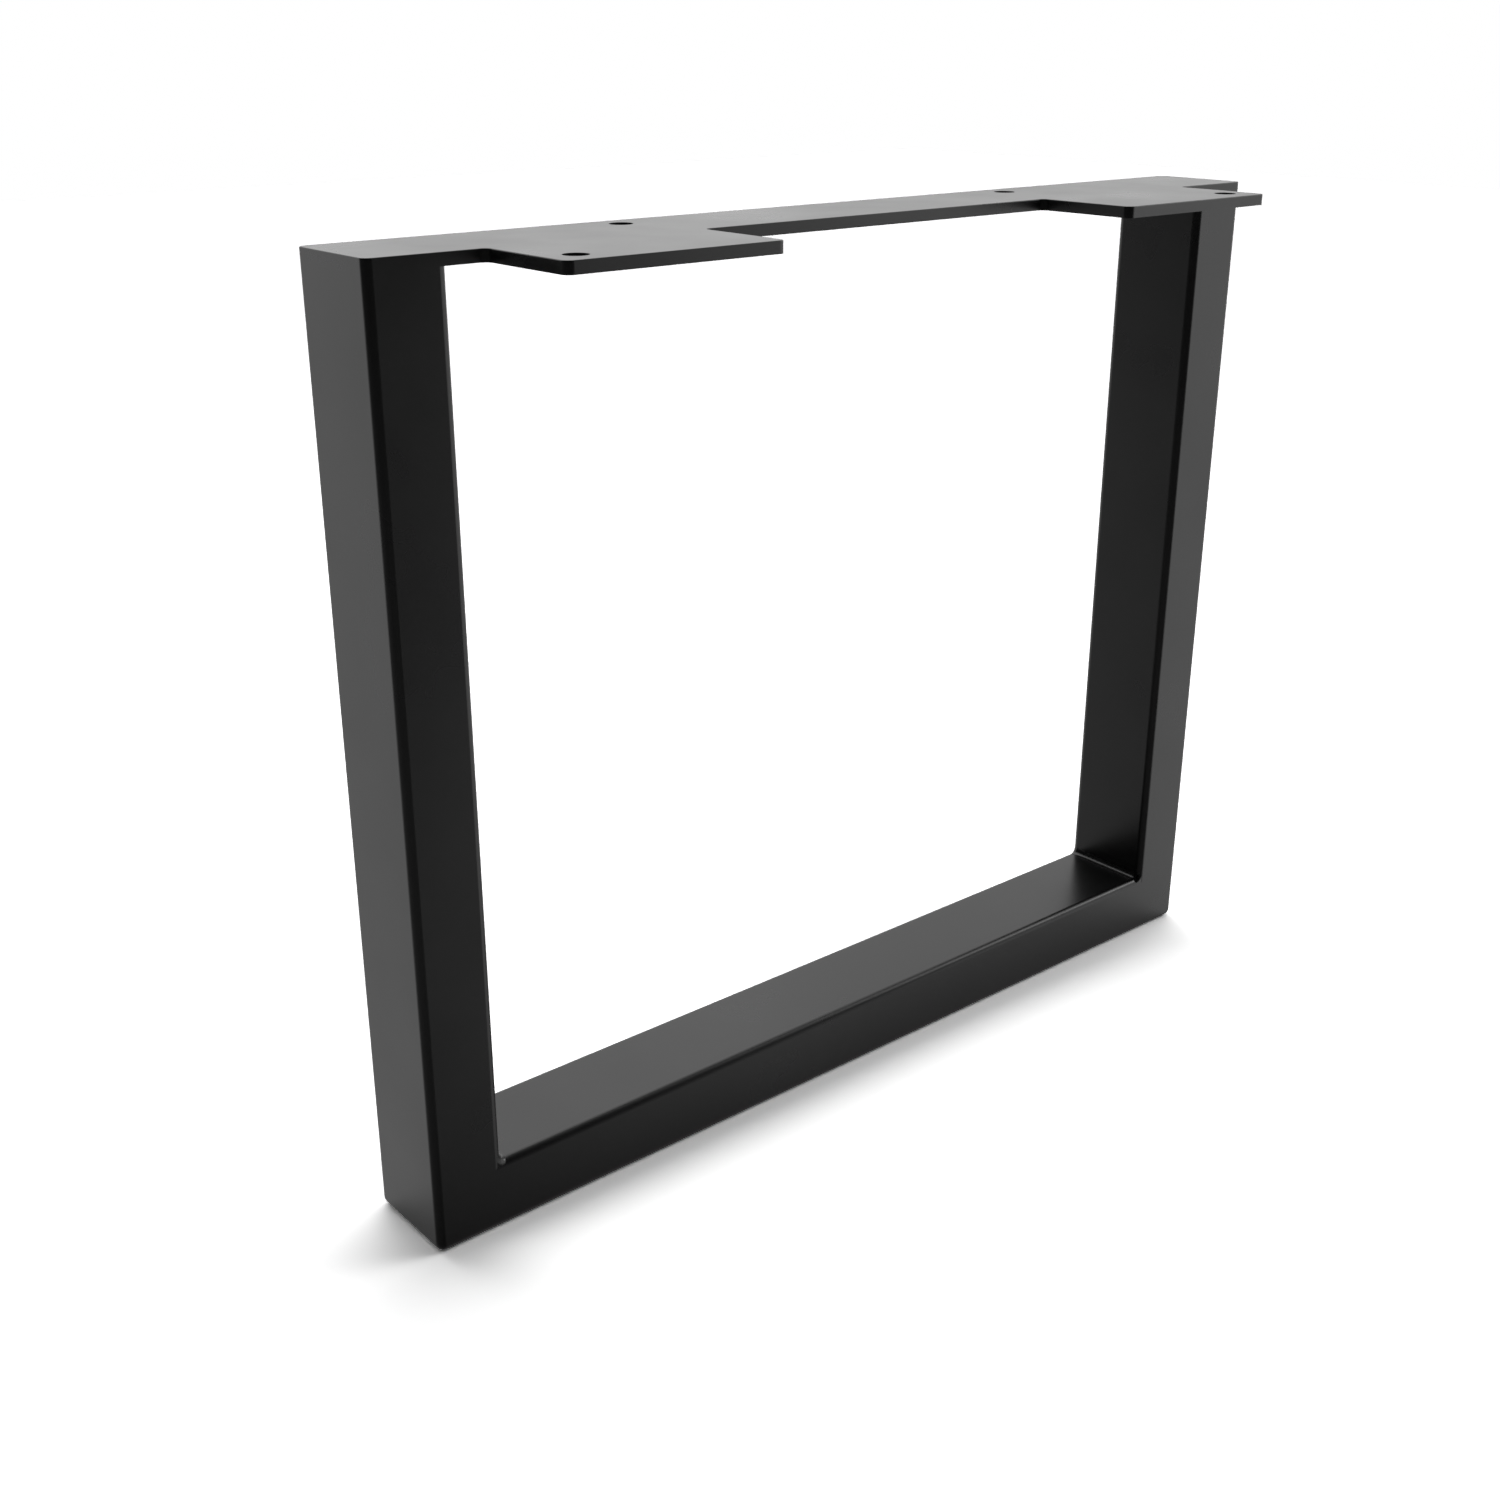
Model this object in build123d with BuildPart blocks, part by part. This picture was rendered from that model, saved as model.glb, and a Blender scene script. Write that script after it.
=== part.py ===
from build123d import *
import os

# U-shaped steel table leg: two posts and a bottom rail of box tube, mitred and welded,
# under a flat fixing plate with two tabs. Millimetres.
# The origin is on the floor under the middle of the rail, +X along the rail, +Z up.
# The tabs point to the front, -Y.

# Overall sizes
leg_width = 600.0
leg_height = 500.0  # floor to the top face of the plate

# Box tube of the posts and the rail
tube_face = 40.0  # width seen from the front
tube_depth = 60.0  # front to back
tube_wall = 2.0
tube_bend = 2.0  # corner radius inside the tube

# Fixing plate
plate_thickness = 6.0
plate_edge = 0.5  # rounding of the top edge
tab_width = 120.0
tab_reach = 60.0  # how far a tab stands out in front of the tube
tab_inset = 60.0  # end of the leg to the outer side of a tab
tab_corner = 4.0
hole_diameter = 12.0
hole_margin = 16.0  # hole centre to the two nearest edges of the plate

# Welds and grinding
corner_weld_radius = 4.0  # hollow of the bead in an inner bottom corner
weld_toe = 0.15  # step at the rim of that bead
weld_recess = 0.15  # how far its ends stay behind the tube's front and back
plate_weld_leg = 4.0
plate_weld_hollow = 0.6  # how far the face of that bead dips
plate_weld_inset = 14.0  # how far its ends stay behind the tube's front and back
corner_ease = 1.0  # radius that grinding adds to the tube's own at an outer bottom corner

# Sizes that follow from those above
half_width = leg_width / 2
half_depth = tube_depth / 2
tube_corner = tube_bend + tube_wall
bore_face = tube_face - 2 * tube_wall
bore_depth = tube_depth - 2 * tube_wall
post_height = leg_height - plate_thickness
post_middle = half_width - tube_face / 2
post_inner = half_width - tube_face
tab_middle = half_width - tab_inset - tab_width / 2
tab_outer = tab_middle + tab_width / 2
tab_inner = tab_middle - tab_width / 2
tab_front = half_depth + tab_reach
ground_radius = tube_corner + corner_ease

post_section = Plane((-post_middle, 0, 0))
rail_section = Plane((-half_width, 0, tube_face / 2), x_dir=(0, 1, 0), z_dir=(1, 0, 0))
left_mitre = Plane((-half_width, 0, 0), x_dir=(0, 1, 0), z_dir=(-1, 0, 1))
right_mitre = Plane((half_width, 0, 0), x_dir=(0, 1, 0), z_dir=(1, 0, 1))


# Outer corner waste: what grinding takes off the left outer bottom corner
ground_centre = (-half_width + ground_radius, 0, ground_radius)
with BuildPart() as corner_waste:
    with Locations((-half_width, 0, 0)):
        Box(ground_radius, tube_depth, ground_radius, align=(Align.MIN, Align.CENTER, Align.MIN))
    with BuildSketch(Plane(ground_centre, x_dir=(-1, 0, 0), z_dir=(0, 0, 1))) as ground_rim:
        Rectangle(ground_radius, tube_depth, align=(Align.MIN, Align.CENTER))
        fillet(ground_rim.vertices().group_by(Axis.X)[-1], tube_corner)
    revolve(axis=Axis(ground_centre, (0, 1, 0)), mode=Mode.SUBTRACT)


# Outside of the left post, before it is hollow
with BuildPart() as post_blank:
    with BuildSketch(post_section):
        RectangleRounded(tube_face, tube_depth, tube_corner)
    extrude(amount=post_height)
    split(bisect_by=left_mitre, keep=Keep.TOP)
    add(corner_waste.part, mode=Mode.SUBTRACT)


# Outside of the rail, before it is hollow
with BuildPart() as rail_blank:
    with BuildSketch(rail_section):
        RectangleRounded(tube_depth, tube_face, tube_corner)
    extrude(amount=leg_width)
    split(bisect_by=left_mitre, keep=Keep.BOTTOM)
    split(bisect_by=right_mitre, keep=Keep.BOTTOM)
    add(corner_waste.part, mode=Mode.SUBTRACT)
    mirror(corner_waste.part, about=Plane.YZ, mode=Mode.SUBTRACT)


# Posts: mitred at the foot, cut square under the plate
with BuildPart() as left_post:
    add(post_blank.part)
    with BuildSketch(post_section):
        RectangleRounded(bore_face, bore_depth, tube_bend)
    extrude(amount=post_height, mode=Mode.SUBTRACT)

with BuildPart() as right_post:
    mirror(left_post.part, about=Plane.YZ)


# Bottom rail: mitred at both ends
with BuildPart() as bottom_rail:
    add(rail_blank.part)
    with BuildSketch(rail_section):
        RectangleRounded(bore_depth, bore_face, tube_bend)
    extrude(amount=leg_width, mode=Mode.SUBTRACT)


# Fixing plate: a strip as deep as the tube, two tabs towards the front, four screw holes
with BuildPart() as top_plate:
    with BuildSketch(Plane.XY.offset(post_height)) as outline:
        RectangleRounded(leg_width, tube_depth, tube_corner)
        with Locations((-tab_middle, -half_depth), (tab_middle, -half_depth)):
            Rectangle(tab_width, tab_reach, align=(Align.CENTER, Align.MAX))
        tab_corners = outline.vertices().filter_by(lambda v: abs(v.X) < tab_outer + tab_inset / 2)
        fillet(tab_corners, tab_corner)
    extrude(amount=plate_thickness)
    fillet(top_plate.faces().sort_by(Axis.Z)[-1].edges(), plate_edge)
    with Locations(Plane.XY.offset(leg_height)):
        for side in (-1, 1):
            front_hole = (side * (tab_outer - hole_margin), hole_margin - tab_front)
            back_hole = (side * (tab_inner + hole_margin), half_depth - hole_margin)
            with Locations(front_hole, back_hole):
                Hole(hole_diameter / 2)


# Corner welds: a hollow bead in each inner bottom corner, rounded over at its ends as the tube is
bead_centre = (-post_inner + corner_weld_radius, 0, tube_face + corner_weld_radius)
bead_face = corner_weld_radius - weld_toe
bead_reach = 1.5 * (corner_weld_radius + tube_corner)  # past the valley between the rounded tubes
with BuildPart() as left_corner_weld:
    with BuildSketch(Plane(bead_centre, x_dir=(-1, 0, 0), z_dir=(0, 0, 1))) as bead_section:
        with Locations((bead_face, 0)):
            Rectangle(bead_reach - bead_face, tube_depth - 2 * weld_recess, align=(Align.MIN, Align.CENTER))
        fillet(bead_section.vertices().group_by(Axis.X)[0], tube_corner)
    revolve(axis=Axis(bead_centre, (0, -1, 0)), revolution_arc=90)
    add(post_blank.part, mode=Mode.SUBTRACT)
    add(rail_blank.part, mode=Mode.SUBTRACT)

with BuildPart() as right_corner_weld:
    mirror(left_corner_weld.part, about=Plane.YZ)


# Plate welds: a bead under the plate along the inner side of each post
weld_plane = Plane((-post_inner, 0, post_height), x_dir=(1, 0, 0), z_dir=(0, -1, 0))
with BuildPart() as left_plate_weld:
    with BuildSketch(weld_plane):
        with BuildLine():
            Polyline((plate_weld_leg, 0), (0, 0), (0, -plate_weld_leg))
            SagittaArc((0, -plate_weld_leg), (plate_weld_leg, 0), plate_weld_hollow)
        make_face()
    extrude(amount=half_depth - plate_weld_inset, both=True)

with BuildPart() as right_plate_weld:
    mirror(left_plate_weld.part, about=Plane.YZ)


pieces = {
    "left_post": left_post,
    "right_post": right_post,
    "bottom_rail": bottom_rail,
    "top_plate": top_plate,
    "left_corner_weld": left_corner_weld,
    "right_corner_weld": right_corner_weld,
    "left_plate_weld": left_plate_weld,
    "right_plate_weld": right_plate_weld,
}
os.makedirs("parts", exist_ok=True)
for name, piece in pieces.items():
    piece.part.label = name
    export_step(piece.part, f"parts/{name}.step")
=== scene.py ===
import math

import bpy
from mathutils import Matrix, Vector

# Black powder-coated steel table leg in a white studio, seen from the front left. Metres.
# An azimuth is in degrees from +Y towards +X, an elevation in degrees above the horizon.

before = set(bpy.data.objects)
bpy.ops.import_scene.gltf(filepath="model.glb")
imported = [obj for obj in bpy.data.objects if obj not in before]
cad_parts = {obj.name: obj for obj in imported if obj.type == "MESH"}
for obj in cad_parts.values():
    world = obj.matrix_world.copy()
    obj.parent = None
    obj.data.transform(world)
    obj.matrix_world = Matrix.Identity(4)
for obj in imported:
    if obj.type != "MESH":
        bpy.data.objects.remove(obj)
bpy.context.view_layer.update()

# Camera
CAMERA_PLACE = (-0.67296, -0.72251, 0.59145)
CAMERA_AZIMUTH = 40.023
CAMERA_ELEVATION = -21.933
CAMERA_LENS = 43.515  # millimetres on a sensor 36 mm wide

# Studio: white behind the leg and to its right, dark on the camera's side
BRIGHT_AZIMUTH = 47.5  # the middle of the white side
BRIGHT_ELEVATION = -6.0
STUDIO_STRENGTH = 1.1
# Greys between black, at 0 in the middle of the dark side, and white, at 1 in the middle of the white side
STUDIO_SHADES = ((0.435, 0.0), (0.50, 1.42), (0.61, 1.20), (0.74, 0.90))
STUDIO_LID = -0.25  # how far overhead leans to the dark end of those shades
STUDIO_LEFT = 0.7  # how bright the left of the studio is beside the right
LEFT_FADE = (-0.6, 0.3)  # X of the directions between that left and that right
STUDIO_FOOT = 0.77  # how bright the floor close to the leg is beside the backdrop
FOOT_FADE = (-0.6, 0.0)  # Z of the directions between that floor and that backdrop
WHITE = (1.0, 1.0, 1.0, 1.0)

# Glow of the floor that the leg mirrors on the dark side, which is gone at the horizon
FRONT_GLOW = 0.115
LEFT_GLOW = 0.195
GLOW_TURN = (0.1, -0.5)  # X of the directions between the front's glow and the left's
GLOW_FADE = (0.0, 0.2)  # place in the studio's shades where the left's glow starts, and where it is full
GLOW_DEPTH = (0.0, -0.3)  # Z of the directions between no glow and all of it

# Softboxes, and if the leg mirrors them
SOFTBOXES = {
    "back_softbox": dict(azimuth=15.0, elevation=54.0, distance=2.2, size=1.9, power=6.2, mirrored=True),
    "right_softbox": dict(azimuth=116.0, elevation=33.0, distance=2.0, size=0.5, power=2.8, mirrored=True),
    "left_softbox": dict(azimuth=-85.0, elevation=45.0, distance=2.2, size=1.6, power=1.8, mirrored=False),
}

# Floor
FLOOR_SIZE = 12.0
FLOOR_GREY = 0.8
FLOOR_WHITE = 2.65  # what the camera sees, white where nothing shades it
# Painted shade: the floor that the leg mirrors is darkened near the leg by ambient occlusion, a shadow
# painted into its colour
SHADE_AZIMUTH = 35.0  # the side whose light the leg keeps off the floor that it mirrors
SHADE_REACH = 0.3  # how far off the leg still shades that floor
SHADE_OPEN = (0.5, 1.0)  # how open that side is where the shade is darkest, and where it ends
SHADE_DARKEST = 0.18
SHADE_SAMPLES = 8

# Powder coat
COAT_DARK = (0.0045, 0.0045, 0.0047, 1.0)
COAT_LIGHT = (0.0075, 0.0075, 0.0077, 1.0)
COAT_ROUGHNESS = (0.265, 0.315)
WELD_ROUGHNESS = (0.18, 0.24)  # the coat runs smoother on the beads
CLOUD_SIZE = 0.06  # width of the coat's slow changes in tone and gloss
CLOUD_DETAIL = 3.0
CLOUD_RANGE = (0.3, 0.7)  # their noise where the coat is smoothest, and where it is roughest
PEEL_SIZE = 0.0009  # width of its orange peel
PEEL_DEPTH = 0.0001
PEEL_STRENGTH = 0.06
RIPPLE_SIZE = 0.003  # width of the ripples in a weld bead
RIPPLE_DEPTH = 0.0004
RIPPLE_STRENGTH = 0.25


def direction(azimuth, elevation):
    """Unit vector that points so many degrees round and up."""
    turn, rise = math.radians(azimuth), math.radians(elevation)
    return Vector((math.sin(turn) * math.cos(rise), math.cos(turn) * math.cos(rise), math.sin(rise)))


def new_tree(owner):
    """Empties the node tree of a material or a world and gives the tree."""
    owner.use_nodes = True
    tree = owner.node_tree
    tree.nodes.clear()
    return tree


def feed(tree, socket, value):
    """Links an input to another node's output, or sets it to a plain value."""
    if isinstance(value, bpy.types.NodeSocket):
        tree.links.new(value, socket)
    else:
        socket.default_value = value


def add_node(tree, kind, **inputs):
    """Makes a shader node and feeds the inputs named."""
    node = tree.nodes.new("ShaderNode" + kind)
    for name, value in inputs.items():
        feed(tree, node.inputs[name.replace("_", " ")], value)
    return node


def calculate(tree, kind, operation, first, second):
    """Gives the value that a Math or VectorMath node makes of two inputs."""
    node = add_node(tree, kind)
    node.operation = operation
    feed(tree, node.inputs[0], first)
    feed(tree, node.inputs[1], second)
    return node.outputs["Value"]


def fade(tree, value, span, first, last):
    """Gives first to last as the value goes from one end of the span to the other."""
    start, end = span
    node = add_node(tree, "MapRange", Value=value, From_Min=start, From_Max=end, To_Min=first, To_Max=last)
    return node.outputs["Result"]


def mix_shaders(tree, share, first, second):
    """Gives the first shader where the share is 0 and the second where it is 1."""
    node = add_node(tree, "MixShader", Fac=share)
    feed(tree, node.inputs[1], first.outputs[0])
    feed(tree, node.inputs[2], second.outputs[0])
    return node.outputs[0]


def noise(tree, coords, size, detail=1.0):
    """Gives a noise texture whose features are about so wide."""
    return add_node(tree, "TexNoise", Vector=coords, Scale=1.0 / size, Detail=detail).outputs["Fac"]


def studio_world():
    """Light that fades from the white side to the dark one, with a plain white backdrop for the camera."""
    world = bpy.data.worlds.new("studio")
    bpy.context.scene.world = world
    tree = new_tree(world)
    looking = add_node(tree, "TexCoord").outputs["Generated"]
    axes = add_node(tree, "SeparateXYZ", Vector=looking).outputs

    bright = direction(BRIGHT_AZIMUTH, BRIGHT_ELEVATION)
    towards = calculate(tree, "VectorMath", "DOT_PRODUCT", looking, bright)
    lid = fade(tree, axes["Z"], (0.0, 1.0), 0.0, STUDIO_LID)
    place = fade(tree, calculate(tree, "Math", "ADD", towards, lid), (-1.0, 1.0), 0.0, 1.0)
    shades = add_node(tree, "ValToRGB", Fac=place)
    shades.color_ramp.interpolation = "EASE"
    for stop, grey in STUDIO_SHADES:
        shades.color_ramp.elements.new(stop).color = (grey, grey, grey, 1.0)

    left = fade(tree, axes["X"], LEFT_FADE, STUDIO_LEFT, 1.0)
    foot = fade(tree, axes["Z"], FOOT_FADE, STUDIO_FOOT, 1.0)
    dim = calculate(tree, "Math", "MULTIPLY", left, foot)
    shade = calculate(tree, "Math", "MULTIPLY", shades.outputs["Color"], dim)

    left_glow = fade(tree, axes["X"], GLOW_TURN, FRONT_GLOW, LEFT_GLOW)
    full_glow = fade(tree, place, GLOW_FADE, FRONT_GLOW, left_glow)
    glow = fade(tree, axes["Z"], GLOW_DEPTH, 0.0, full_glow)

    lit = calculate(tree, "Math", "MAXIMUM", shade, glow)
    light = add_node(tree, "Background", Color=lit, Strength=STUDIO_STRENGTH)
    backdrop = add_node(tree, "Background", Color=WHITE, Strength=1.0)
    path = add_node(tree, "LightPath").outputs
    add_node(tree, "OutputWorld", Surface=mix_shaders(tree, path["Is Camera Ray"], light, backdrop))


def floor_material():
    """White floor with the leg's shadow, through which the leg mirrors the studio below the horizon,
    darkened near the leg by a painted shade.
    """
    material = bpy.data.materials.new("studio_floor")
    tree = new_tree(material)
    path = add_node(tree, "LightPath").outputs
    grey = fade(tree, path["Is Camera Ray"], (0.0, 1.0), FLOOR_GREY, FLOOR_WHITE)
    paint = add_node(tree, "BsdfDiffuse", Color=grey)
    lit_side = direction(SHADE_AZIMUTH, 0.0)
    facing = add_node(tree, "CombineXYZ", X=lit_side.x, Y=lit_side.y, Z=lit_side.z).outputs[0]
    # Ambient occlusion paints the shade near the leg into the colour of the floor that the leg mirrors
    painted_contact_shade = add_node(tree, "AmbientOcclusion", Distance=SHADE_REACH, Normal=facing)
    painted_contact_shade.samples = SHADE_SAMPLES
    shade = fade(tree, painted_contact_shade.outputs["AO"], SHADE_OPEN, SHADE_DARKEST, 1.0)
    mirrored = add_node(tree, "BsdfTransparent", Color=shade)
    add_node(tree, "OutputMaterial", Surface=mix_shaders(tree, path["Is Glossy Ray"], paint, mirrored))
    return material


def make_floor():
    half = FLOOR_SIZE / 2
    mesh = bpy.data.meshes.new("floor")
    corners = [(-half, -half, 0), (half, -half, 0), (half, half, 0), (-half, half, 0)]
    mesh.from_pydata(corners, [], [(0, 1, 2, 3)])
    mesh.materials.append(floor_material())
    floor = bpy.data.objects.new("floor", mesh)
    bpy.context.scene.collection.objects.link(floor)


def coat_material(name, roughness, rippled):
    """Satin black powder coat with a fine orange peel, over a weld's ripples where it is on a bead."""
    material = bpy.data.materials.new(name)
    tree = new_tree(material)
    coords = add_node(tree, "TexCoord").outputs["Object"]
    clouds = noise(tree, coords, CLOUD_SIZE, CLOUD_DETAIL)
    colour = add_node(tree, "ValToRGB", Fac=clouds)
    colour.color_ramp.elements[0].color = COAT_DARK
    colour.color_ramp.elements[1].color = COAT_LIGHT
    peel = noise(tree, coords, PEEL_SIZE)
    bump = add_node(tree, "Bump", Height=peel, Strength=PEEL_STRENGTH, Distance=PEEL_DEPTH)
    if rippled:
        ripples = noise(tree, coords, RIPPLE_SIZE)
        bead = add_node(tree, "Bump", Height=ripples, Strength=RIPPLE_STRENGTH, Distance=RIPPLE_DEPTH)
        feed(tree, bump.inputs["Normal"], bead.outputs["Normal"])
    coat = add_node(
        tree,
        "BsdfPrincipled",
        Base_Color=colour.outputs["Color"],
        Roughness=fade(tree, clouds, CLOUD_RANGE, *roughness),
        Normal=bump.outputs["Normal"],
    )
    add_node(tree, "OutputMaterial", Surface=coat.outputs[0])
    return material


def coat_nodes():
    tube_coat = coat_material("black_coat", COAT_ROUGHNESS, rippled=False)
    weld_coat = coat_material("black_coat_on_weld", WELD_ROUGHNESS, rippled=True)
    for name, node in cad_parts.items():
        node.data.materials.clear()
        node.data.materials.append(weld_coat if name.endswith("weld") else tube_coat)


def make_softbox(name, azimuth, elevation, distance, size, power, mirrored):
    data = bpy.data.lights.new(name, "AREA")
    data.size = size
    data.energy = power
    lamp = bpy.data.objects.new(name, data)
    lamp.location = distance * direction(azimuth, elevation)
    lamp.rotation_euler = (-lamp.location).to_track_quat("-Z", "Y").to_euler()
    lamp.visible_camera = False
    lamp.visible_glossy = mirrored
    bpy.context.scene.collection.objects.link(lamp)


def make_camera():
    data = bpy.data.cameras.new("camera")
    data.lens = CAMERA_LENS
    camera = bpy.data.objects.new("camera", data)
    camera.location = CAMERA_PLACE
    camera.rotation_euler = (math.radians(90 + CAMERA_ELEVATION), 0, math.radians(-CAMERA_AZIMUTH))
    bpy.context.scene.collection.objects.link(camera)
    bpy.context.scene.camera = camera


bpy.context.scene.view_settings.view_transform = "Standard"
coat_nodes()
studio_world()
make_floor()
for softbox_name, softbox in SOFTBOXES.items():
    make_softbox(softbox_name, **softbox)
make_camera()
